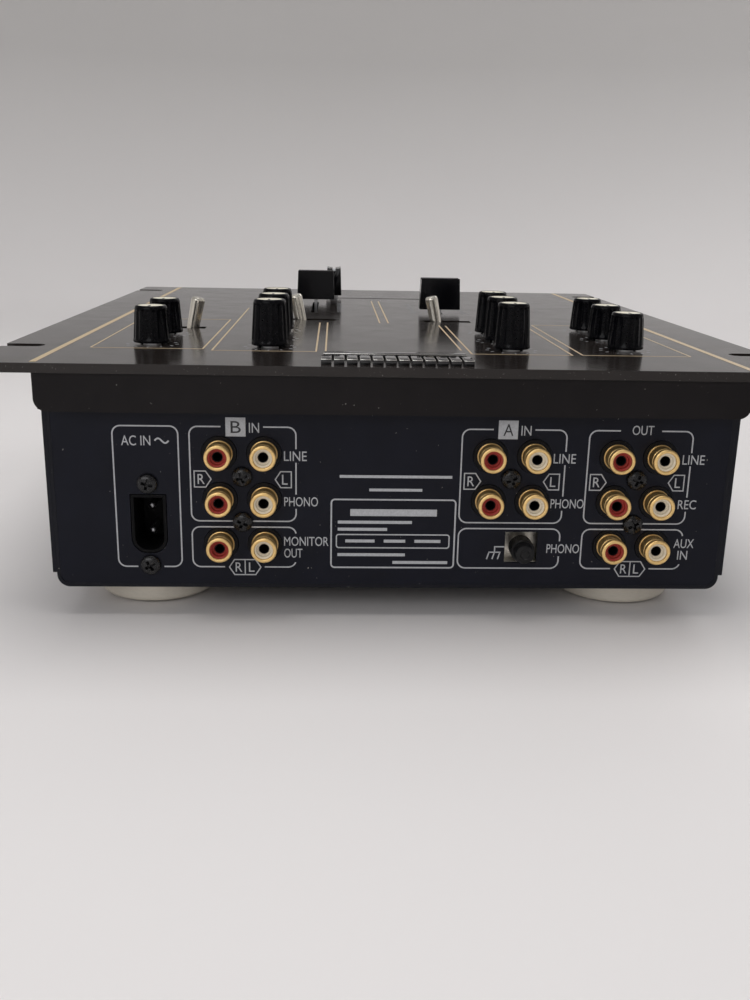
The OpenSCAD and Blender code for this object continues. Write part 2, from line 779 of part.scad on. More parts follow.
module knob_a_trim() { knob(channel_knob(-1, 0), tall_knob_h); }
module knob_a_high() { knob(channel_knob(-1, 1), tall_knob_h); }
module knob_a_low() { knob(channel_knob(-1, 2), tall_knob_h); }
module knob_b_trim() { knob(channel_knob(1, 0), tall_knob_h); }
module knob_b_high() { knob(channel_knob(1, 1), tall_knob_h); }
module knob_b_low() { knob(channel_knob(1, 2), tall_knob_h); }
module knob_mic_high() { knob(outer_knob(-1, 0), short_knob_h); }
module knob_mic_low() { knob(outer_knob(-1, 1), short_knob_h); }
module knob_mic_level() { knob(outer_knob(-1, 2), short_knob_h); }
module knob_cue_level() { knob(outer_knob(1, 0), short_knob_h); }
module knob_cue_mix() { knob(outer_knob(1, 1), short_knob_h); }

module shaft_a_trim() { shaft(channel_knob(-1, 0), tall_knob_h); }
module shaft_a_high() { shaft(channel_knob(-1, 1), tall_knob_h); }
module shaft_a_low() { shaft(channel_knob(-1, 2), tall_knob_h); }
module shaft_b_trim() { shaft(channel_knob(1, 0), tall_knob_h); }
module shaft_b_high() { shaft(channel_knob(1, 1), tall_knob_h); }
module shaft_b_low() { shaft(channel_knob(1, 2), tall_knob_h); }
module shaft_mic_high() { shaft(outer_knob(-1, 0), short_knob_h); }
module shaft_mic_low() { shaft(outer_knob(-1, 1), short_knob_h); }
module shaft_mic_level() { shaft(outer_knob(-1, 2), short_knob_h); }
module shaft_cue_level() { shaft(outer_knob(1, 0), short_knob_h); }
module shaft_cue_mix() { shaft(outer_knob(1, 1), short_knob_h); }

module fader_cap_a() { translate([-fader_x, fader_rear_y, 0]) fader_cap(); }
module fader_cap_b() { translate([fader_x, fader_front_y, 0]) fader_cap(); }
module crossfader_cap() { translate([crossfader_x, crossfader_y, 0]) rotate([0, 0, 90]) fader_cap(); }
module fader_stem_a() { translate([-fader_x, fader_rear_y, 0]) fader_stem(); }
module fader_stem_b() { translate([fader_x, fader_front_y, 0]) fader_stem(); }
module crossfader_stem() { translate([crossfader_x, crossfader_y, 0]) rotate([0, 0, 90]) fader_stem(); }

module lever_a() { lever(lever_places[0], 1); }
module lever_b() { lever(lever_places[1], 1); }
module lever_cue() { lever(lever_places[2], -1, cue_lever_extra); }

top_plate();
skirt_frame();
bottom_pan();
side_cover_left();
side_cover_right();
rear_panel();
front_panel();
badge();
feet();
foot_pads();
case_screws();
rear_screws();
rca_housings();
rca_shells();
rca_red_inserts();
rca_white_inserts();
ac_inlet();
ac_pins();
ground_post();
ground_nut();
pot_bodies();
fader_bodies();
lever_switches();
control_board();
jack_board();
transformer();
phone_jacks();
power_switch();
power_button();
knob_a_trim();
knob_a_high();
knob_a_low();
knob_b_trim();
knob_b_high();
knob_b_low();
knob_mic_high();
knob_mic_low();
knob_mic_level();
knob_cue_level();
knob_cue_mix();
shaft_a_trim();
shaft_a_high();
shaft_a_low();
shaft_b_trim();
shaft_b_high();
shaft_b_low();
shaft_mic_high();
shaft_mic_low();
shaft_mic_level();
shaft_cue_level();
shaft_cue_mix();
fader_cap_a();
fader_cap_b();
crossfader_cap();
fader_stem_a();
fader_stem_b();
crossfader_stem();
lever_a();
lever_b();
lever_cue();
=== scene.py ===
import json
import math

import bmesh
import bpy
from mathutils import Matrix, Vector


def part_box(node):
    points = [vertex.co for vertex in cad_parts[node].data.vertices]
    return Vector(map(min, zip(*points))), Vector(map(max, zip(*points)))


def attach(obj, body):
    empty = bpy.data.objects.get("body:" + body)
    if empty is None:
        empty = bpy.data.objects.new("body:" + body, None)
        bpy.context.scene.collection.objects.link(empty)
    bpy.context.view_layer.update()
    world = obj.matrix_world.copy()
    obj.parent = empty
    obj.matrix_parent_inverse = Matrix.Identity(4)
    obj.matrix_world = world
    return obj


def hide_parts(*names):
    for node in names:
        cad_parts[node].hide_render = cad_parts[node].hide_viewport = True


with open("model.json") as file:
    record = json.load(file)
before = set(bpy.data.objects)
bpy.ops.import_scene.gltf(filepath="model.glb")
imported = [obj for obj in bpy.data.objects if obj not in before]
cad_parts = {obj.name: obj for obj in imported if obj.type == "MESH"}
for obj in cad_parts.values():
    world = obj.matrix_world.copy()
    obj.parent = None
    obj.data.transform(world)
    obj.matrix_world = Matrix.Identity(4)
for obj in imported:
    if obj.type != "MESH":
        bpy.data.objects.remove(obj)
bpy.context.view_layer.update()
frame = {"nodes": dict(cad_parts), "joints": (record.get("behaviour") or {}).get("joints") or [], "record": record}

MM = 0.001
nodes = frame["nodes"]
record = frame["record"]
mounts = {m["name"]: Vector(m["pos_m"]) for m in record["mounts"]}
joints = {j["name"]: j for j in frame["joints"]}
slot_of = {s["node"]: s["material_slot"] for s in record["subparts"]}
body_of_node = {n: b for b, members in record["behaviour"]["bodies"].items() for n in members}

# Levels and faces of the case, from the frame
plate_low, plate_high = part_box("top_plate")
plate_top = plate_high.z
rear_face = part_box("rear_panel")[1].y
CHASSIS = "chassis"

# CAD edges that turn more than this are given a bevel
SHARP_EDGE = math.radians(40)
WELD = 2e-6


# ---- Camera -----------------------------------------------------------------------------

# The eye behind the rear panel, a little above the top panel, looking towards the user's side
eye = Vector((19.6 * MM, rear_face + 309.0 * MM, plate_top + 45.3 * MM))
camera_turn = math.radians(2.50)
camera_dip = math.radians(16.09)
camera_roll = math.radians(1.14)
camera_lens = 36.07


def make_camera():
    sight = Vector((-math.sin(camera_turn) * math.cos(camera_dip),
                    -math.cos(camera_turn) * math.cos(camera_dip),
                    -math.sin(camera_dip)))
    data = bpy.data.cameras.new("camera")
    data.lens = camera_lens
    data.clip_start, data.clip_end = 0.01, 20
    camera = bpy.data.objects.new("camera", data)
    bpy.context.scene.collection.objects.link(camera)
    turn = sight.to_track_quat("-Z", "Y").to_matrix() @ Matrix.Rotation(camera_roll, 3, "Z")
    camera.matrix_world = Matrix.Translation(eye) @ turn.to_4x4()
    bpy.context.scene.camera = camera


make_camera()


# ---- Materials --------------------------------------------------------------------------

def add(tree, kind, **values):
    """A shader node of that kind, with some of its input sockets set."""
    node = tree.nodes.new(kind)
    for name, value in values.items():
        node.inputs[name.replace("_", " ")].default_value = value
    return node


def noise(tree, scale, detail=4.0, rough=0.55, stretch=(1, 1, 1)):
    """Noise in the row frame, so that its grain has a real size; scale is in cells per metre."""
    coords = tree.nodes.new("ShaderNodeTexCoord")
    mapping = add(tree, "ShaderNodeMapping", Scale=stretch)
    texture = add(tree, "ShaderNodeTexNoise", Scale=scale, Detail=detail, Roughness=rough)
    tree.links.new(coords.outputs["Object"], mapping.inputs["Vector"])
    tree.links.new(mapping.outputs["Vector"], texture.inputs["Vector"])
    return texture.outputs["Fac"]


def ramp(tree, source, stops):
    """A colour ramp with stops as (place, grey or colour)."""
    node = tree.nodes.new("ShaderNodeValToRGB")
    elements = node.color_ramp.elements
    while len(elements) < len(stops):
        elements.new(0.5)
    for element, (place, colour) in zip(elements, stops):
        element.position = place
        grey = isinstance(colour, (int, float))
        element.color = (colour, colour, colour, 1) if grey else (*colour, 1)
    tree.links.new(source, node.inputs["Fac"])
    return node.outputs["Color"]


def scaled(colour, factor):
    return tuple(min(1.0, c * factor) for c in colour)


def material(name, colour, vary=0.15, grain=400, rough=(0.35, 0.5), metallic=0.0,
             bump=0.0, bump_grain=2500, stretch=(1, 1, 1), specks=None, coat=0.0,
             specular=0.5):
    """A finish whose tone and gloss vary over the surface.

    specks is (colour, cells per metre, share from 0 to 1) for dust or flecks.
    """
    made = bpy.data.materials.new(name)
    made.use_nodes = True
    tree = made.node_tree
    shader = tree.nodes["Principled BSDF"]
    shader.inputs["Metallic"].default_value = metallic
    shader.inputs["Specular IOR Level"].default_value = specular
    shader.inputs["Coat Weight"].default_value = coat
    shader.inputs["Coat Roughness"].default_value = 0.08
    broad = noise(tree, grain, stretch=stretch)
    tone = ramp(tree, broad, [(0.3, scaled(colour, 1 - vary)), (0.7, scaled(colour, 1 + vary))])
    if specks:
        fleck_colour, fleck_scale, share = specks
        fleck = ramp(tree, noise(tree, fleck_scale, detail=2.0),
                     [(1 - share, 0.0), (min(1.0, 1.04 - share), 1.0)])
        tone = mixed(tree, fleck, tone, fleck_colour)
    tree.links.new(tone, shader.inputs["Base Color"])
    gloss = ramp(tree, noise(tree, grain * 1.7, detail=6.0, stretch=stretch),
                 [(0.3, rough[0]), (0.7, rough[1])])
    tree.links.new(gloss, shader.inputs["Roughness"])
    if bump:
        relief = add(tree, "ShaderNodeBump", Strength=bump, Distance=0.0002)
        height = noise(tree, bump_grain, detail=3.0, stretch=stretch)
        tree.links.new(height, relief.inputs["Height"])
        tree.links.new(relief.outputs["Normal"], shader.inputs["Normal"])
    return made


def mixed(tree, factor, first, second):
    """first blended towards the colour second by factor."""
    node = tree.nodes.new("ShaderNodeMix")
    node.data_type = "RGBA"
    tree.links.new(factor, node.inputs["Factor"])
    tree.links.new(first, node.inputs["A"])
    node.inputs["B"].default_value = (*second, 1)
    return node.outputs["Result"]


DUST = (0.30, 0.29, 0.27)
materials = {
    "panel_black": material("panel_paint", (0.015, 0.0118, 0.0105), vary=0.12, grain=60,
                            rough=(0.15, 0.19), bump=0.02, bump_grain=3500,
                            specks=(DUST, 2200, 0.28), specular=0.34),
    "skirt_black": material("skirt_paint", (0.0085, 0.0070, 0.0074), vary=0.15, grain=90,
                            rough=(0.36, 0.42), bump=0.08, bump_grain=5000,
                            specks=(DUST, 900, 0.24), specular=0.14),
    "case_black": material("case_paint", (0.0052, 0.0057, 0.0095), vary=0.15, grain=80,
                           rough=(0.36, 0.44), bump=0.08, bump_grain=5000,
                           specks=(DUST, 800, 0.24), specular=0.18),
    "rear_black": material("rear_paint", (0.0042, 0.0050, 0.0105), vary=0.15, grain=70,
                           rough=(0.34, 0.42), bump=0.08, bump_grain=5000,
                           specks=(DUST, 900, 0.24), specular=0.16),
    "badge_metal": material("badge_chrome", (0.62, 0.61, 0.58), vary=0.12, grain=300,
                            rough=(0.12, 0.28), metallic=1.0, bump=0.03),
    "foot_champagne": material("foot_metal", (0.74, 0.695, 0.60), vary=0.05, grain=500,
                               rough=(0.30, 0.38), metallic=0.35, bump=0.04,
                               stretch=(1, 1, 8)),
    "pad_rubber": material("pad_rubber", (0.03, 0.029, 0.027), vary=0.2, grain=900,
                           rough=(0.75, 0.9), bump=0.4),
    "screw_steel": material("screw_steel", (0.30, 0.30, 0.31), vary=0.2, grain=1500,
                            rough=(0.25, 0.4), metallic=1.0, bump=0.1),
    "screw_black": material("screw_black", (0.006, 0.006, 0.007), vary=0.3, grain=1500,
                            rough=(0.22, 0.32), metallic=0.0, bump=0.05, specular=0.4,
                            specks=((0.26, 0.26, 0.25), 2600, 0.27)),
    "jack_black": material("socket_plastic", (0.004, 0.004, 0.005), vary=0.2, grain=1200,
                           rough=(0.4, 0.5), bump=0.08, specular=0.15),
    "jack_gold": material("socket_gold", (0.83, 0.57, 0.24), vary=0.10, grain=900,
                          rough=(0.28, 0.38), metallic=0.9, bump=0.05,
                          specks=((0.30, 0.22, 0.12), 1700, 0.31)),
    "jack_red": material("socket_red", (0.27, 0.024, 0.016), vary=0.12, grain=1500,
                         rough=(0.30, 0.42), bump=0.05, specular=0.3),
    "jack_white": material("socket_ivory", (0.70, 0.62, 0.48), vary=0.06, grain=1500,
                           rough=(0.32, 0.45), bump=0.05, specular=0.3),
    "inlet_black": material("inlet_plastic", (0.004, 0.004, 0.0045), vary=0.2, grain=1200,
                            rough=(0.42, 0.52), bump=0.08, specular=0.08),
    "pin_metal": material("pin_nickel", (0.30, 0.30, 0.31), vary=0.1, grain=1500,
                          rough=(0.3, 0.42), metallic=1.0, bump=0.05),
    "terminal_metal": material("terminal_zinc", (0.56, 0.53, 0.47), vary=0.15, grain=900,
                               rough=(0.25, 0.42), metallic=1.0, bump=0.1),
    "nut_black": material("nut_plastic", (0.004, 0.004, 0.0045), vary=0.2, grain=1500,
                          rough=(0.28, 0.38), bump=0.05, specular=0.25,
                          specks=(DUST, 1500, 0.25)),
    "pot_metal": material("pot_steel", (0.45, 0.45, 0.46), vary=0.12, grain=700,
                          rough=(0.3, 0.45), metallic=1.0, bump=0.08),
    "fader_metal": material("fader_steel", (0.030, 0.030, 0.032), vary=0.12, grain=700,
                            rough=(0.4, 0.5), metallic=0.3, bump=0.08),
    "switch_plastic": material("switch_plastic", (0.03, 0.03, 0.032), vary=0.2, grain=900,
                               rough=(0.45, 0.6), bump=0.1),
    "board_green": material("board_laminate", (0.02, 0.09, 0.035), vary=0.2, grain=300,
                            rough=(0.35, 0.5), bump=0.1),
    "core_metal": material("core_varnish", (0.16, 0.14, 0.12), vary=0.2, grain=400,
                           rough=(0.4, 0.55), metallic=0.6, bump=0.3, stretch=(1, 20, 1)),
    "front_jack_black": material("front_jack_plastic", (0.010, 0.010, 0.011), vary=0.2,
                                 grain=1200, rough=(0.35, 0.5), bump=0.08),
    "button_black": material("button_plastic", (0.012, 0.012, 0.014), vary=0.2, grain=1200,
                             rough=(0.15, 0.25), bump=0.03),
    "knob_black": material("knob_plastic", (0.0022, 0.0022, 0.0032), vary=0.2, grain=900,
                           rough=(0.12, 0.16), bump=0.02, bump_grain=1500,
                           specks=(DUST, 1600, 0.15), specular=0.09),
    "shaft_metal": material("shaft_aluminium", (0.65, 0.65, 0.66), vary=0.08, grain=700,
                            rough=(0.25, 0.38), metallic=1.0, bump=0.06, stretch=(1, 1, 10)),
    "cap_black": material("cap_plastic", (0.0022, 0.0022, 0.0032), vary=0.2, grain=700,
                          rough=(0.12, 0.17), bump=0.02, specks=(DUST, 1300, 0.22),
                          specular=0.18),
    "stem_metal": material("stem_steel", (0.55, 0.55, 0.56), vary=0.1, grain=900,
                           rough=(0.25, 0.4), metallic=1.0, bump=0.06),
    # The lever's tone is streaked along its length: painted highlight streaks; its gloss and bump are streaked the
    # same way
    "lever_cream": material("lever_metal", (0.80, 0.76, 0.67), vary=0.10, grain=300,
                            rough=(0.14, 0.22), metallic=0.9, bump=0.04,
                            stretch=(5, 5, 0.5)),
}

print_white = material("print_pale", (0.42, 0.43, 0.45), vary=0.12, grain=1800,
                       rough=(0.45, 0.6), bump=0.05)
print_gold = material("print_gold", (0.52, 0.40, 0.25), vary=0.15, grain=1500,
                      rough=(0.40, 0.55), bump=0.05)
print_dark = material("print_dark", (0.012, 0.012, 0.014), vary=0.2, grain=1500,
                      rough=(0.4, 0.55), bump=0.05)
knob_top = material("knob_top_cream", (0.88, 0.83, 0.68), vary=0.05, grain=1500,
                    rough=(0.25, 0.38), metallic=0.1, bump=0.04)
badge_dark = material("badge_black", (0.006, 0.006, 0.007), vary=0.2, grain=900,
                      rough=(0.10, 0.20), bump=0.03, coat=0.3)

for node_name, node_object in nodes.items():
    node_object.data.materials.clear()
    node_object.data.materials.append(materials[slot_of[node_name]])


# ---- Mesh helpers -----------------------------------------------------------------------

def shade(mesh, degrees=35):
    mesh.shade_smooth()
    mesh.set_sharp_from_angle(angle=math.radians(degrees))


def as_mesh(name, bm, smooth_below=35):
    bmesh.ops.recalc_face_normals(bm, faces=bm.faces)
    mesh = bpy.data.meshes.new(name)
    bm.to_mesh(mesh)
    bm.free()
    shade(mesh, smooth_below)
    return mesh


def piece(name, mesh, body, slot, finish, *stands_for):
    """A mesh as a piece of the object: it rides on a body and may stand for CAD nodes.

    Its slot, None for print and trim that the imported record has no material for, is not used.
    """
    made = bpy.data.objects.new(name, mesh)
    bpy.context.scene.collection.objects.link(made)
    mesh.materials.clear()
    mesh.materials.append(finish)
    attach(made, body)
    if stands_for:
        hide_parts(*stands_for)
    return made


def stand_in(node, mesh):
    """A new mesh in place of one CAD node, on the same body, in the same finish."""
    slot = slot_of[node]
    return piece(node + "_shell", mesh, body_of_node[node], slot, materials[slot], node)


def add_lathe(bm, profile, place=Matrix.Identity(4), steps=48, radius=None):
    """Turns a profile of (radius, height) in mm about Z.

    radius(angle, r, h) may change the radius of a ring as it goes round. A profile whose
    last point is its first makes a closed ring.
    """
    rings = []
    for r, h in profile:
        if rings and (r, h) == profile[0]:
            rings.append(rings[0])
            continue
        if r < 1e-6:
            rings.append([bm.verts.new(place @ Vector((0, 0, h * MM)))])
            continue
        ring = []
        for i in range(steps):
            angle = 2 * math.pi * i / steps
            rr = (radius(angle, r, h) if radius else r) * MM
            point = Vector((rr * math.cos(angle), rr * math.sin(angle), h * MM))
            ring.append(bm.verts.new(place @ point))
        rings.append(ring)
    for low, high in zip(rings, rings[1:]):
        for i in range(steps):
            j = (i + 1) % steps
            if len(low) == 1 and len(high) == 1:
                continue
            if len(low) == 1:
                bm.faces.new((low[0], high[j], high[i]))
            elif len(high) == 1:
                bm.faces.new((low[i], low[j], high[0]))
            else:
                bm.faces.new((low[i], low[j], high[j], high[i]))


def add_copy(bm, mesh, place):
    """Adds a mesh, moved by a matrix."""
    moved = mesh.copy()
    moved.transform(place)
    bm.from_mesh(moved)
    bpy.data.meshes.remove(moved)


def add_prism(bm, place, outline, low, high):
    """A closed prism over an outline of (u, v) in mm, between two heights in mm."""
    bottom = [bm.verts.new(place(u, v, low)) for u, v in outline]
    top = [bm.verts.new(place(u, v, high)) for u, v in outline]
    bm.faces.new(top)
    bm.faces.new(bottom[::-1])
    for i in range(len(outline)):
        j = (i + 1) % len(outline)
        bm.faces.new((bottom[i], bottom[j], top[j], top[i]))


def add_rect(bm, place, u0, u1, v0, v1, low, high):
    add_prism(bm, place, [(u0, v0), (u1, v0), (u1, v1), (u0, v1)], low, high)


def add_ribbon(bm, place, path, width, low, high, closed=False):
    """A flat line of some width along a path of (u, v) in mm, with mitred corners."""
    points = [Vector(p) for p in path]
    count = len(points)
    sides = []
    for i, point in enumerate(points):
        before = points[i - 1] if closed or i > 0 else point
        after = points[(i + 1) % count] if closed or i < count - 1 else point
        first = (point - before).normalized() if point != before else None
        second = (after - point).normalized() if after != point else None
        first = first or second
        second = second or first
        across = Vector((-first.y - second.y, first.x + second.x)).normalized()
        reach = width / 2 / max(0.5, across.dot(Vector((-first.y, first.x))))
        sides.append((point + across * reach, point - across * reach))
    rings = [[bm.verts.new(place(*side, height)) for side, height in
              ((a, low), (a, high), (b, high), (b, low))] for a, b in sides]
    pairs = list(zip(rings, rings[1:] + rings[:1]))
    for one, two in pairs if closed else pairs[:-1]:
        for k in range(4):
            bm.faces.new((one[k], two[k], two[(k + 1) % 4], one[(k + 1) % 4]))
    if not closed:
        bm.faces.new(rings[0])
        bm.faces.new(rings[-1][::-1])


def cut(mesh, tool):
    """The mesh with the tool mesh taken away."""
    target = bpy.data.objects.new("cut_target", mesh)
    cutter = bpy.data.objects.new("cut_tool", tool)
    for helper in (target, cutter):
        bpy.context.scene.collection.objects.link(helper)
    boolean = target.modifiers.new("cut", "BOOLEAN")
    boolean.operation = "DIFFERENCE"
    boolean.solver = "EXACT"
    boolean.object = cutter
    depsgraph = bpy.context.evaluated_depsgraph_get()
    result = bpy.data.meshes.new_from_object(target.evaluated_get(depsgraph))
    for helper in (target, cutter):
        bpy.data.objects.remove(helper)
    shade(result)
    return result


def even_normals(made):
    """Keeps large flat faces flat next to their rounded edges."""
    made.modifiers.new("normals", "WEIGHTED_NORMAL").keep_sharp = True
    depsgraph = bpy.context.evaluated_depsgraph_get()
    mesh = bpy.data.meshes.new_from_object(made.evaluated_get(depsgraph))
    made.modifiers.clear()
    made.data = mesh
    return made


def out_of_rear(x, z, y=0.0):
    """Lays +Z along +Y at a place (in metres) on the rear face; y is in mm outwards."""
    turn = Matrix.Rotation(math.radians(-90), 4, "X")
    return Matrix.Translation((x, rear_face + y * MM, z)) @ turn


def softened(node, width, steps=2, more=None):
    """A copy of a CAD node with rounded edges; more may bevel chosen edges first."""
    bm = bmesh.new()
    bm.from_mesh(nodes[node].data)
    low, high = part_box(node)
    bmesh.ops.remove_doubles(bm, verts=bm.verts, dist=WELD)
    bmesh.ops.dissolve_limit(bm, angle_limit=math.radians(1), verts=bm.verts, edges=bm.edges)
    if more:
        more(bm)
    sharp = [e for e in bm.edges
             if len(e.link_faces) == 2 and e.calc_face_angle(0) > SHARP_EDGE]
    bmesh.ops.bevel(bm, geom=sharp, offset=width * MM, segments=steps, profile=0.5,
                    affect="EDGES", clamp_overlap=True)
    for v in bm.verts:
        v.co = Vector([min(max(c, a), b) for c, a, b in zip(v.co, low, high)])
    return even_normals(stand_in(node, as_mesh(node + "_shell", bm, 40)))


# ---- Case -------------------------------------------------------------------------------

def round_outer_edge(bm):
    """Rounds the outer edges of the panel, the upper one more than the lower one."""
    for level, width, steps in ((plate_top, 1.9, 6), (plate_low.z, 0.5, 2)):
        edges = [e for e in bm.edges if len(e.link_faces) == 2
                 and all(abs(v.co.z - level) < 1e-6 for v in e.verts)
                 and e.calc_face_angle(0) > SHARP_EDGE
                 and max(max(abs(v.co.x) for v in e.verts) - plate_high.x + 15 * MM,
                         max(abs(v.co.y) for v in e.verts) - plate_high.y + 4 * MM) > 0]
        bmesh.ops.bevel(bm, geom=edges, offset=width * MM, segments=steps, profile=0.5,
                        affect="EDGES", clamp_overlap=True)


softened("top_plate", 0.25, 2, round_outer_edge)
for sheet in ("skirt_frame", "side_cover_left", "side_cover_right", "bottom_pan"):
    softened(sheet, 0.35, 3)
for sheet in ("rear_panel", "front_panel"):
    softened(sheet, 0.2, 2)
for moulded in ("ac_inlet", "ground_post", "rca_housings", "power_button"):
    softened(moulded, 0.2, 2)


case_foot_r = 20.5


def foot_place():
    """The middle of the foot with the largest x and y."""
    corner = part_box("feet")[1]
    return Vector((corner.x - case_foot_r * MM, corner.y - case_foot_r * MM, 0))


def make_feet():
    """Turned metal feet with a rounded rim, and a grooved rubber ring under each."""
    rim = case_foot_r
    half = foot_place()
    foot = [(1.6, 10.5), (rim - 1.2, 10.5), (rim - 0.4, 10.25), (rim, 9.6), (rim, 8.9),
            (rim - 0.25, 8.7), (rim - 0.25, 8.4), (rim, 8.2), (rim, 3.2), (rim - 0.15, 2.5),
            (rim - 0.5, 1.8), (rim - 1.1, 1.25), (rim - 2.0, 0.9), (rim - 3.0, 0.8),
            (15.4, 0.8), (15, 1.0), (15, 2.0), (7, 2.0), (7, 0.8), (6, 0.8), (6, 5), (1.6, 5),
            (1.6, 10.5)]
    pad = [(7.2, 2.0), (7.2, 0.4), (7.6, 0.0), (8.8, 0.0), (9.1, 0.5), (9.5, 0.5), (9.8, 0.0),
           (12.2, 0.0), (12.5, 0.5), (12.9, 0.5), (13.2, 0.0), (14.3, 0.0), (14.8, 0.4),
           (14.8, 2.0), (7.2, 2.0)]
    for node, profile in (("feet", foot), ("foot_pads", pad)):
        bm = bmesh.new()
        for sx in (-1, 1):
            for sy in (-1, 1):
                place = Matrix.Translation((sx * half.x, sy * half.y, 0))
                add_lathe(bm, profile, place, steps=96)
        stand_in(node, as_mesh(node + "_shell", bm, 30))


make_feet()


# ---- Screws -----------------------------------------------------------------------------

def screw_mesh(head_d, head_h, shank_l):
    """A dome-headed screw with a cross recess, its head standing on z = 0."""
    r = head_d / 2
    bm = bmesh.new()
    dome = [(r * math.cos(t), head_h * (0.32 + 0.68 * math.sin(t)))
            for t in [math.radians(a) for a in range(0, 90, 15)]]
    add_lathe(bm, [(0, -shank_l), (1.5, -shank_l), (1.5, 0), (r - 0.1, 0), (r, 0.1)] + dome
              + [(0, head_h)], steps=40)
    head = as_mesh("screw_head", bm, 30)
    tool = bmesh.new()
    long, thin, deep = r * 0.6, 0.5, head_h * 0.1
    cross = [(long, -thin), (long, thin), (thin, thin), (thin, long), (-thin, long),
             (-thin, thin), (-long, thin), (-long, -thin), (-thin, -thin), (-thin, -long),
             (thin, -long), (thin, -thin)]

    def tapered(u, v, h):
        narrow = 0.7 if h < head_h else 1.0
        return Vector((u * narrow, v * narrow, h)) * MM
    add_prism(tool, tapered, cross, deep, head_h + 0.2)
    return cut(head, as_mesh("screw_recess", tool))


def make_rear_screws():
    proto = screw_mesh(6.5, 2.0, 8)
    sockets = {name: mounts[name] for name in mounts if name.endswith("_socket")}

    def between(upper, lower):
        """The place midway between the sockets of two rows."""
        four = [p for name, p in sockets.items() if name.rsplit("_", 2)[0] in (upper, lower)]
        return sum(four, Vector()) / len(four)
    places = [between("b_line", "b_phono"), between("b_phono", "monitor"),
              between("a_line", "a_phono"), between("out", "rec"), between("rec", "aux")]
    inlet = mounts["mains_inlet"]
    for z in (inlet.z + 13.5 * MM, inlet.z - 13.7 * MM):
        places.append(Vector((inlet.x, 0, z)))
    bm = bmesh.new()
    for i, p in enumerate(places):
        turn = Matrix.Rotation(math.radians(20 + 47 * i), 4, "Z")
        add_copy(bm, proto, out_of_rear(p.x, p.z) @ turn)
    stand_in("rear_screws", as_mesh("rear_screws_shell", bm))


def make_case_screws():
    """Screws in the side covers, and the same screws up through the feet."""
    proto = screw_mesh(6.0, 2.2, 9)
    cover_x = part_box("side_cover_right")[1].x
    side_y = 114 * MM
    side_z = plate_top - 40.3 * MM
    foot = foot_place()
    foot_seat = 5 * MM
    bm = bmesh.new()
    for sx in (-1, 1):
        for sy in (-1, 1):
            side = Matrix.Rotation(math.radians(90 * sx), 4, "Y")
            down = Matrix.Rotation(math.radians(180), 4, "X")
            spin = Matrix.Rotation(math.radians(25 * sy + 60 * sx), 4, "Z")
            in_cover = Matrix.Translation((sx * cover_x, sy * side_y, side_z))
            in_foot = Matrix.Translation((sx * foot.x, sy * foot.y, foot_seat))
            add_copy(bm, proto, in_cover @ side @ spin)
            add_copy(bm, proto, in_foot @ down @ spin)
    stand_in("case_screws", as_mesh("case_screws_shell", bm))


make_rear_screws()
make_case_screws()


# ---- Sockets, inlet and ground terminal -------------------------------------------------

# Profiles as (radius, distance out of the rear face) in mm
shell_profile = [(3.3, -9.1), (4.05, -9.1), (4.05, 0.3), (4.3, 0.3), (4.3, 0.7), (4.2, 0.85),
                 (4.08, 0.9), (4.08, 4.9), (3.95, 5.0), (3.95, 5.35), (4.08, 5.45), (4.2, 5.7),
                 (4.2, 6.45), (4.12, 6.75), (3.95, 6.98), (3.7, 7.1), (3.35, 7.1), (3.1, 7.0),
                 (2.97, 6.8), (2.95, 6.55), (3.3, 6.52), (3.3, -9.1)]
centre_profile = [(0, -9.1), (3.2, -9.1), (3.2, 6.5), (2.75, 6.5), (2.5, 6.4), (2.35, 6.2),
                  (2.3, 5.5), (2.2, 5.3), (1.85, 5.25), (1.7, 5.1), (1.65, 4.9), (1.65, -6.2),
                  (0, -6.2)]
well_profile = [(1.62, -6.1), (1.62, 5.0), (1.42, 5.0), (1.42, -6.1), (1.62, -6.1)]


def make_sockets():
    shells = bmesh.new()
    reds = bmesh.new()
    whites = bmesh.new()
    wells = bmesh.new()
    for name, p in mounts.items():
        if not name.endswith("_socket"):
            continue
        place = out_of_rear(p.x, p.z)
        add_lathe(shells, shell_profile, place, steps=48)
        centre = reds if name.endswith("_right_socket") else whites
        add_lathe(centre, centre_profile, place, steps=40)
        add_lathe(wells, well_profile, place, steps=32)
    stand_in("rca_shells", as_mesh("rca_shells_shell", shells, 32))
    stand_in("rca_red_inserts", as_mesh("rca_red_inserts_shell", reds, 32))
    stand_in("rca_white_inserts", as_mesh("rca_white_inserts_shell", whites, 32))
    piece("socket_wells", as_mesh("socket_wells", wells), CHASSIS, "jack_black",
          materials["jack_black"])


def make_inlet_pins():
    low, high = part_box("ac_pins")
    r = (high.x - low.x) / 2 / MM
    back = (low.y - rear_face) / MM
    front = (high.y - rear_face) / MM
    bm = bmesh.new()
    tip = [(r * math.cos(math.radians(a)), front - r + r * math.sin(math.radians(a)))
           for a in range(0, 90, 15)]
    for z in (low.z + r * MM, high.z - r * MM):
        add_lathe(bm, [(0, back), (r, back)] + tip + [(0, front)],
                  out_of_rear((low.x + high.x) / 2, z), steps=32)
    stand_in("ac_pins", as_mesh("ac_pins_shell", bm))


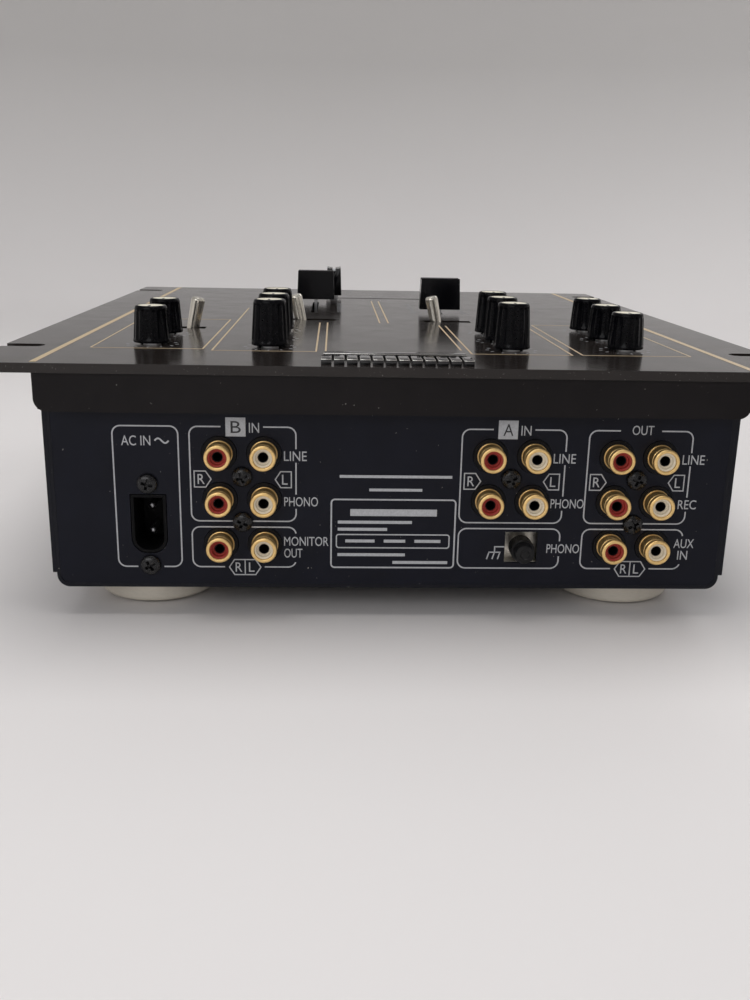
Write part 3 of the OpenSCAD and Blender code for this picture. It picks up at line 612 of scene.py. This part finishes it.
def make_ground_nut():
    low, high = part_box("ground_nut")
    r = (high.x - low.x) / 2 / MM
    back = (low.y - rear_face) / MM
    front = (high.y - rear_face) / MM
    step = back + 6.0
    ridges = 36

    def knurled(angle, radius, h):
        grip = radius > r - 0.3 and back + 0.4 < h < step - 0.4
        return radius - (0.16 * (1 + math.cos(ridges * angle)) / 2 if grip else 0)
    profile = [(2.05, back), (r - 0.35, back), (r - 0.05, back + 0.3), (r, back + 0.6),
               (r, step - 0.6), (r - 0.05, step - 0.3), (r - 0.35, step), (r - 0.75, step),
               (r - 0.8, step + 0.15), (r - 0.8, front - 0.5), (r - 0.95, front - 0.15),
               (r - 1.3, front), (1.5, front), (1.3, front - 0.25), (0, front - 0.25),
               (0, front - 1.8), (2.05, front - 1.8), (2.05, back)]
    bm = bmesh.new()
    middle = (low + high) / 2
    add_lathe(bm, profile, out_of_rear(middle.x, middle.z), steps=ridges * 6, radius=knurled)
    bmesh.ops.remove_doubles(bm, verts=bm.verts, dist=1e-7)
    stand_in("ground_nut", as_mesh("ground_nut_shell", bm, 32))


make_sockets()
make_inlet_pins()
make_ground_nut()
softened("phone_jacks", 0.2, 2)


# ---- Knobs ------------------------------------------------------------------------------

flutes = 18
flute_depth = 0.26


def fluted(foot, top):
    """Radius of a knob with shallow concave flutes that fade out at both ends."""
    def radius(angle, r, h):
        if r < 5.0 or h < foot or h > top:
            return r
        phase = (flutes * angle / (2 * math.pi)) % 1 - 0.5
        fade = min(1.0, (h - foot) / 0.8, (top - h) / 0.9)
        return r - flute_depth * (1 - (2 * phase) ** 2) * max(0.0, fade)
    return radius


def make_knob(node):
    low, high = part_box(node)
    middle = (low + high) / 2
    foot_r = (high.x - low.x) / 2 / MM
    gap = (low.z - plate_top) / MM
    h = (high.z - plate_top) / MM
    top_r = foot_r - 0.9
    bore_top = h - 3.9
    place = Matrix.Translation((middle.x, middle.y, plate_top))

    def side(t):
        """Radius of the side wall at a share t of its height."""
        return foot_r - (foot_r - top_r) * t
    foot, top = gap + 0.9, h - 1.0
    wall = [(side((z - gap) / (h - gap)), z) for z in
            [foot + (top - foot) * s for s in (0, 0.04, 0.08, 0.5, 0.92, 0.96, 1)]]
    profile = [(3.02, gap), (foot_r - 0.35, gap), (foot_r - 0.08, gap + 0.15),
               (foot_r, gap + 0.45)] + wall
    profile += [(top_r - 0.02, h - 0.7), (top_r - 0.12, h - 0.4), (top_r - 0.32, h - 0.16),
                (top_r - 0.6, h - 0.03), (top_r - 0.8, h), (top_r - 0.95, h),
                (top_r - 1.0, h - 0.1), (top_r - 1.0, h - 0.45), (0, h - 0.45), (0, bore_top),
                (3.02, bore_top), (3.02, gap)]
    bm = bmesh.new()
    add_lathe(bm, profile, place, steps=flutes * 8, radius=fluted(foot, top))
    stand_in(node, as_mesh(node + "_shell", bm, 28))
    disc = bmesh.new()
    rim = top_r - 1.03
    add_lathe(disc, [(0, h - 0.44), (rim, h - 0.44), (rim, h - 0.16), (rim - 0.12, h - 0.08),
                     (0, h - 0.06)], place, steps=64)
    body = body_of_node[node]
    piece(node + "_disc", as_mesh(node + "_disc", disc), body, None, knob_top)
    line = bmesh.new()

    def on_knob(u, v, w):
        return place @ Vector((u * MM, v * MM, w * MM))
    add_rect(line, on_knob, -0.35, 0.35, 1.2, rim - 0.15, h - 0.2, h - 0.01)
    piece(node + "_line", as_mesh(node + "_line", line), body, None, print_dark)


for node_name in [n for n in nodes if n.startswith("knob_")]:
    make_knob(node_name)


# ---- Fader caps and levers --------------------------------------------------------------

def make_cap(node):
    """A fader cap with round edges and a groove along the middle of its top, filled white."""
    low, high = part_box(node)
    size = high - low
    middle = (low + high) / 2
    along_x = size.x > size.y
    shell = softened(node, 0.25, 2)
    half_l = (size.x if along_x else size.y) / 2 / MM
    groove_z = high.z - 0.7 * MM

    def on_cap(u, v, w):
        flat = Vector((u, v)) if along_x else Vector((v, u))
        return Vector((middle.x + flat.x * MM, middle.y + flat.y * MM, groove_z + w * MM))
    groove = bmesh.new()
    add_rect(groove, on_cap, -half_l - 1, half_l + 1, -0.8, 0.8, -0.9, 3)
    shell.data = cut(shell.data, as_mesh(node + "_groove", groove))
    shell.data.materials.clear()
    shell.data.materials.append(materials[slot_of[node]])
    line = bmesh.new()
    add_rect(line, on_cap, -half_l + 0.75, half_l - 0.75, -0.77, 0.77, -0.88, -0.5)
    piece(node + "_line", as_mesh(node + "_line", line), body_of_node[node], None,
          print_white)


for node_name in ("fader_cap_a", "fader_cap_b", "crossfader_cap"):
    make_cap(node_name)
for node_name in ("lever_a", "lever_b", "lever_cue"):
    softened(node_name, 0.25, 2)


# ---- Badge ------------------------------------------------------------------------------

def make_badge():
    """A dark bar and dark slats with bright rims, plain and evenly spaced."""
    low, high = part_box("badge")
    bar_w, bar_d, bar_h = 46.0, 4.0, 1.6
    slat_w, slat_d, slat_h, slat_gap, count = 3.2, 8.3, 1.8, 4.0, 12
    v0 = low.y / MM
    v1 = high.y / MM
    dark = bmesh.new()
    bright = bmesh.new()

    def on_plate(u, v, w):
        return Vector((u * MM, v * MM, plate_top + w * MM))

    def block(u0, u1, v_low, v_high, h):
        rim = 0.25
        add_rect(dark, on_plate, u0, u1, v_low, v_high, 0, h - 0.45)
        add_rect(bright, on_plate, u0, u1, v_low, v_high, h - 0.45, h - 0.12)
        add_rect(dark, on_plate, u0 + rim, u1 - rim, v_low + rim, v_high - rim,
                 h - 0.4, h)
    block(-bar_w / 2, bar_w / 2, v0, v0 + bar_d, bar_h)
    for i in range(count):
        u = (i - (count - 1) / 2) * slat_gap
        block(u - slat_w / 2, u + slat_w / 2, v1 - slat_d, v1, slat_h)
    for bm, width in ((dark, 0.06), (bright, 0.1)):
        bmesh.ops.bevel(bm, geom=bm.edges[:], offset=width * MM, segments=2, profile=0.5,
                        affect="EDGES", clamp_overlap=True)
    stand_in("badge", as_mesh("badge_shell", bright))
    piece("badge_faces", as_mesh("badge_faces", dark), CHASSIS, None, badge_dark)


make_badge()


# ---- Print on the rear panel ------------------------------------------------------------

# Places in mm, w outwards: on the rear panel u runs to the right as seen from behind and v up
# from the top of the panel; on the top panel u and v run along X and Y
def on_rear(u, v, w):
    return Vector((-u * MM, rear_face + w * MM, plate_top + v * MM))


def on_top(u, v, w):
    return Vector((u * MM, v * MM, plate_top + w * MM))


print_h = 0.05
line_w = 0.44


def add_text(bm, place, text, u0, u1, v0, v1, low=0.0, high=print_h):
    """Text in Blender's own font, fitted to a box, as a thin solid."""
    data = bpy.data.curves.new("text", "FONT")
    data.body = text
    data.resolution_u = 4
    data.extrude = 0.5
    writer = bpy.data.objects.new("text", data)
    bpy.context.scene.collection.objects.link(writer)
    depsgraph = bpy.context.evaluated_depsgraph_get()
    mesh = bpy.data.meshes.new_from_object(writer.evaluated_get(depsgraph))
    bpy.data.objects.remove(writer)
    xs = [v.co.x for v in mesh.vertices]
    ys = [v.co.y for v in mesh.vertices]
    for v in mesh.vertices:
        u = u0 + (v.co.x - min(xs)) / (max(xs) - min(xs)) * (u1 - u0)
        t = v0 + (v.co.y - min(ys)) / (max(ys) - min(ys)) * (v1 - v0)
        v.co = place(u, t, high if v.co.z > 0 else low)
    bm.from_mesh(mesh)
    bpy.data.meshes.remove(mesh)


def rounded_path(u0, u1, v0, v1, r, step=0.4):
    """Points round a rectangle with round corners, close together."""
    path = []
    corners = ((u1 - r, v1 - r, 0), (u0 + r, v1 - r, 90), (u0 + r, v0 + r, 180),
               (u1 - r, v0 + r, 270))
    for cu, cv, start in corners:
        for i in range(9):
            a = math.radians(start + 90 * i / 8)
            path.append((cu + r * math.cos(a), cv + r * math.sin(a)))
    dense = []
    for (ua, va), (ub, vb) in zip(path, path[1:] + path[:1]):
        parts = max(1, int(math.hypot(ub - ua, vb - va) / step))
        dense += [(ua + (ub - ua) * i / parts, va + (vb - va) * i / parts)
                  for i in range(parts)]
    return dense


def add_box_line(bm, place, u0, u1, v0, v1, r=2.6, width=line_w, gaps=()):
    """The outline of a rounded box, left out wherever it runs through one of the gaps."""
    path = rounded_path(u0, u1, v0, v1, r)

    def hidden(p):
        return any(a <= p[0] <= b and c <= p[1] <= d for a, b, c, d in gaps)
    if not any(hidden(p) for p in path):
        add_ribbon(bm, place, path, width, 0, print_h, closed=True)
        return
    start = next(i for i, p in enumerate(path) if hidden(p))
    run = []
    for p in path[start:] + path[:start + 1]:
        if not hidden(p):
            run.append(p)
            continue
        if len(run) > 1:
            add_ribbon(bm, place, run, width, 0, print_h)
        run = []


def make_rear_print():
    pale = bmesh.new()
    dark = bmesh.new()

    def text(label, u0, u1, v0, v1):
        add_text(pale, on_rear, label, u0, u1, v0, v1)

    def arrow_tag(letter, u0, u1, v0, v1, to_right):
        """A small outlined tag with one pointed end, and a letter in it."""
        point = 0.33 * (v1 - v0)
        vm = (v0 + v1) / 2
        if to_right:
            outline = [(u0, v0), (u1 - point, v0), (u1, vm), (u1 - point, v1), (u0, v1)]
        else:
            outline = [(u0 + point, v0), (u1, v0), (u1, v1), (u0 + point, v1), (u0, vm)]
        add_ribbon(pale, on_rear, outline, 0.36, 0, print_h, closed=True)
        lean = -0.5 if to_right else 0.5
        um = (u0 + u1) / 2 + lean
        half = 1.1 if letter == "R" else 0.9
        text(letter, um - half, um + half, v0 + 1.0, v1 - 1.0)

    def pair_tag(um, vm):
        """A six-sided tag with a middle line, for a pair of sockets."""
        w, h, point = 5.1, 2.6, 1.7
        outline = [(um - w, vm), (um - w + point, vm - h), (um + w - point, vm - h),
                   (um + w, vm), (um + w - point, vm + h), (um - w + point, vm + h)]
        add_ribbon(pale, on_rear, outline, 0.36, 0, print_h, closed=True)
        add_ribbon(pale, on_rear, [(um, vm - h), (um, vm + h)], 0.36, 0, print_h)
        text("R", um - 3.1, um - 1.0, vm - 1.6, vm + 1.6)
        text("L", um + 1.2, um + 3.0, vm - 1.6, vm + 1.6)

    box_top, box_mid, low_top, low_end = -20.4, -51.3, -53.3, -66.9
    half_box = 16.7
    text_h = 3.1
    rows = [(mounts[n].z - plate_top) / MM for n in
            ("b_line_right_socket", "b_phono_right_socket", "monitor_right_socket")]

    def group(um, title, tile, top_label, low_label):
        """The box round two rows of sockets, with its title, row names and tags."""
        centre = um + 0.4
        side = centre + half_box
        title_gap = (um - 6.2, um + 6.6, box_top - 1, box_top + 1)
        label_gap = [(side - 1, side + 1, v - 2.7, v + 1.4) for v in rows[:2]]
        add_box_line(pale, on_rear, centre - half_box, side, box_mid, box_top,
                     gaps=[title_gap] + label_gap)
        if tile:
            add_rect(pale, on_rear, um - 4.9, um + 1.35, -23.5, -17.45, 0, print_h)
            add_text(dark, on_rear, tile, um - 3.3, um - 0.1, -22.4, -18.6, print_h,
                     2 * print_h)
            text(title, um + 2.4, um + 5.6, -22.25, -19.1)
        else:
            text(title, um - 2.7, um + 4.2, -21.7, -18.65)
        for label, v in ((top_label, rows[0]), (low_label, rows[1])):
            wide = {"LINE": 7.2, "PHONO": 10.8, "REC": 6.0}[label]
            start = um + (13.3 if tile else 14.4)
            text(label, start, start + wide, v - 0.7 - text_h / 2, v - 0.7 + text_h / 2)
        arrow_tag("R", um - 15.1, um - 9.8, -40.05, -34.8, True)
        arrow_tag("L", um + 10.5, um + 15.6, -40.05, -34.8, False)

    def low_box(um, upper, lower):
        """The box round the lowest row, with a tag for the pair and a name on two lines.

        Each line is given as its word, its start from um and its width.
        """
        centre = um + 0.4
        side = centre + half_box
        gaps = [(side - 1, side + 1, rows[2] - 6.0, rows[2] + 3.2),
                (um - 6.0, um + 6.8, low_end - 1, low_end + 1)]
        add_box_line(pale, on_rear, centre - half_box, side, low_end, low_top, gaps=gaps)
        for (label, start, wide), v in ((upper, -59.6), (lower, -63.65)):
            text(label, um + start, um + start + wide, v, v + text_h)
        pair_tag(um + 0.5, low_end - 0.1)

    b_u, a_u, out_u = [-(mounts[n + "_right_socket"].x + mounts[n + "_left_socket"].x) / 2 / MM
                       for n in ("b_line", "a_line", "out")]
    group(b_u, "IN", "B", "LINE", "PHONO")
    group(a_u, "IN", "A", "LINE", "PHONO")
    group(out_u, "OUT", "", "LINE", "REC")
    low_box(b_u, ("MONITOR", 13.2, 14.35), ("OUT", 13.2, 5.9))
    low_box(out_u, ("AUX", 14.4, 6.7), ("IN", 16.0, 3.3))

    # Mains inlet
    inlet_u = -mounts["mains_inlet"].x / MM
    add_box_line(pale, on_rear, inlet_u - 10.3, inlet_u + 10.1, low_end, box_top,
                 gaps=[(inlet_u - 3.9, inlet_u + 3.9, low_end - 2, low_end + 2)])
    text("AC IN", inlet_u - 7.6, inlet_u + 1.5, -26.7, -23.5)
    wave = [(inlet_u + 2.8 + 4.4 * i / 16, -25.1 + 0.75 * math.sin(2 * math.pi * i / 16))
            for i in range(17)]
    add_ribbon(pale, on_rear, wave, 0.5, 0, print_h)

    # Ground terminal
    low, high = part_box("ground_nut")
    ground_u = -(low.x + high.x) / 2 / MM
    earth_u = ground_u - 7.2
    add_box_line(pale, on_rear, a_u - 16.2, a_u + 17.1, low_end, low_top,
                 gaps=[(a_u + 16.1, a_u + 18.1, -62.6, -57.6)])
    text("PHONO", a_u + 13.0, a_u + 23.8, -61.6, -58.5)
    bar_v = -61.4
    add_ribbon(pale, on_rear, [(earth_u + 1.8, -59.5), (earth_u - 1.4, -59.5),
                               (earth_u - 1.4, bar_v)], 0.4, 0, print_h)
    add_ribbon(pale, on_rear, [(earth_u - 3.4, bar_v), (earth_u + 0.6, bar_v)], 0.4, 0,
               print_h)
    for i in range(3):
        leg = earth_u - 3.2 + 1.8 * i
        add_ribbon(pale, on_rear, [(leg, bar_v), (leg - 0.7, bar_v - 2.4)], 0.4, 0, print_h)

    # A plain rating label with bars in place of words
    add_box_line(pale, on_rear, -20.1, 20.0, low_end, -43.8, r=1.2, width=0.5)
    add_box_line(pale, on_rear, -18.4, 18.3, -60.1, -55.6, r=0.8, width=0.4)
    for u0, u1, v0, v1 in ((-14, 14, -49.3, -47.0), (-18, 6, -51.9, -50.9),
                           (-18, -2, -54.3, -53.3), (-15.5, -6, -58.3, -57.3),
                           (-3, 4, -58.3, -57.3), (7, 15.5, -58.3, -57.3),
                           (-18, 4, -63.0, -62.0), (0, 18, -65.6, -64.6)):
        add_rect(pale, on_rear, u0, u1, v0, v1, 0, print_h)
    for u0, u1, v in ((-17.5, 18.5, -36.6), (-8, 9, -41.0)):
        add_rect(pale, on_rear, u0, u1, v, v + 0.9, 0, print_h)
    piece("rear_print", as_mesh("rear_print", pale), CHASSIS, None, print_white)
    piece("rear_print_dark", as_mesh("rear_print_dark", dark), CHASSIS, None,
          print_dark)


make_rear_print()


# ---- Print on the top panel -------------------------------------------------------------

def knob_middles():
    found = []
    for node in nodes:
        if node.startswith("knob_"):
            low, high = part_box(node)
            found.append((low + high) / 2)
    return found


def make_top_print():
    """Lines round the control groups, and scales round the knobs and beside the faders."""
    gold = bmesh.new()
    pale = bmesh.new()

    def line(bm, width, *points):
        add_ribbon(bm, on_top, points, width, 0, print_h)

    # Wide lines along both sides
    for side in (-1, 1):
        line(gold, 2.0, (side * 110, -149.5), (side * 110, 149.5))
    # Boxes round the outer knobs and the lines beside the channels
    fine = 0.6
    add_box_line(gold, on_top, 63.4, 100.4, 23, 116, r=0.6, width=fine)
    add_box_line(gold, on_top, -100.7, -63.9, 27, 119, r=0.6, width=fine)
    line(gold, fine, (25.6, 119), (60, 119), (60, -30))
    line(gold, fine, (25.6, 119), (25.6, 30))
    line(gold, fine, (22.4, 121), (22.4, 29))
    line(gold, fine, (-26.4, 119.5), (-60.3, 119.5), (-60.3, 42))
    line(gold, fine, (-26.4, 119.5), (-26.4, 35))
    line(gold, fine, (-23.8, 111), (-23.8, 34))
    line(gold, fine, (0.5, 28), (0.5, -77))
    line(gold, fine, (-3.1, 28), (-3.1, -77))

    tick_w = 0.35
    ticks = 11

    # Scale round each knob, open towards the user
    for middle in knob_middles():
        for i in range(ticks):
            angle = math.radians(90 + 150 - 30 * i)
            out = Vector((math.cos(angle), math.sin(angle)))
            foot = Vector((middle.x, middle.y)) / MM
            end = 9.6 if i % 5 == 0 else 9.0
            line(pale, tick_w, foot + out * 7.8, foot + out * end)

    def fader_scale(node, joint, along_x):
        """Ticks on both sides of a fader, over its travel."""
        low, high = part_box(node)
        middle = (low + high) / 2
        start, end = joints[joint]["range_m"]
        for i in range(ticks):
            travel = start + (end - start) * i / (ticks - 1)
            reach = 3.4 if i % 5 == 0 else 2.2
            for side in (-1, 1):
                near, far = side * 10.6, side * (10.6 + reach)
                if along_x:
                    u = (middle.x + travel) / MM
                    line(pale, tick_w, (u, middle.y / MM + near), (u, middle.y / MM + far))
                else:
                    v = (middle.y + travel) / MM
                    line(pale, tick_w, (middle.x / MM + near, v), (middle.x / MM + far, v))

    fader_scale("fader_cap_a", "fader_a_slide", False)
    fader_scale("fader_cap_b", "fader_b_slide", False)
    fader_scale("crossfader_cap", "crossfader_slide", True)
    for letter, u in (("A", -42.0), ("B", 42.0)):
        add_text(pale, on_top, letter, u - 2, u + 2, -97, -92)
    piece("top_print_gold", as_mesh("top_print_gold", gold), CHASSIS, None, print_gold)
    piece("top_print_pale", as_mesh("top_print_pale", pale), CHASSIS, None,
          print_white)


make_top_print()


# ---- Floor, backdrop and light ----------------------------------------------------------

def make_room():
    """One pale surface: a round floor that curves up into a wall all round."""
    floor_r, bend_r, wall_h = 1.25, 0.45, 1.1
    profile = [(0.0, 0.0), (0.3, 0.0), (0.7, 0.0), (floor_r - bend_r, 0.0)]
    for i in range(1, 13):
        angle = math.radians(90) * i / 12
        profile.append((floor_r - bend_r + bend_r * math.sin(angle),
                        bend_r - bend_r * math.cos(angle)))
    profile.append((floor_r, wall_h))
    bm = bmesh.new()
    add_lathe(bm, [(r / MM, h / MM) for r, h in profile], steps=128)
    mesh = as_mesh("room", bm, 60)
    room = bpy.data.objects.new("room", mesh)
    bpy.context.scene.collection.objects.link(room)
    room_finish = material("room_paint", (0.80, 0.775, 0.77), vary=0.015, grain=3,
                           rough=(0.55, 0.65), bump=0.02, bump_grain=400)
    # The wall is painted a little darker than the floor, more so higher up: painted shade, standing in for the
    # lesser light that falls on the wall
    tree = room_finish.node_tree
    paint = tree.nodes["Principled BSDF"].inputs["Base Color"]
    height = tree.nodes.new("ShaderNodeSeparateXYZ")
    coords = tree.nodes.new("ShaderNodeTexCoord")
    tree.links.new(coords.outputs["Object"], height.inputs["Vector"])
    wall_shade = ramp(tree, height.outputs["Z"], [(0.02, 0.0), (0.35, 1.0)])
    tree.links.new(mixed(tree, wall_shade, paint.links[0].from_socket, (0.53, 0.515, 0.505)), paint)
    mesh.materials.append(room_finish)


def area_light(name, place, target, size, power, tint=(1, 1, 1)):
    data = bpy.data.lights.new(name, "AREA")
    data.shape = "RECTANGLE"
    data.size, data.size_y = size
    data.energy = power
    data.color = tint
    light = bpy.data.objects.new(name, data)
    bpy.context.scene.collection.objects.link(light)
    light.location = place
    aim = Vector(target) - Vector(place)
    light.rotation_mode = "QUATERNION"
    light.rotation_quaternion = aim.to_track_quat("-Z", "Y")


def make_world():
    world = bpy.data.worlds.new("studio")
    bpy.context.scene.world = world
    world.use_nodes = True
    background = world.node_tree.nodes["Background"]
    background.inputs["Color"].default_value = (0.95, 0.97, 1.0, 1)
    background.inputs["Strength"].default_value = 0.34
    bpy.context.scene.view_settings.view_transform = "Standard"


make_room()
make_world()
area_light("overhead", (0.05, 0.0, 1.05), (0, 0, 0), (0.9, 0.8), 6.5, (1.0, 0.985, 0.97))
area_light("rear_fill", (0.45, 1.0, 0.55), (0, 0.14, 0.02), (0.9, 0.4), 3.0, (0.98, 0.985, 1.0))
area_light("user_fill", (-0.7, -0.8, 0.8), (0, 0, 0.05), (0.8, 0.6), 2.2)
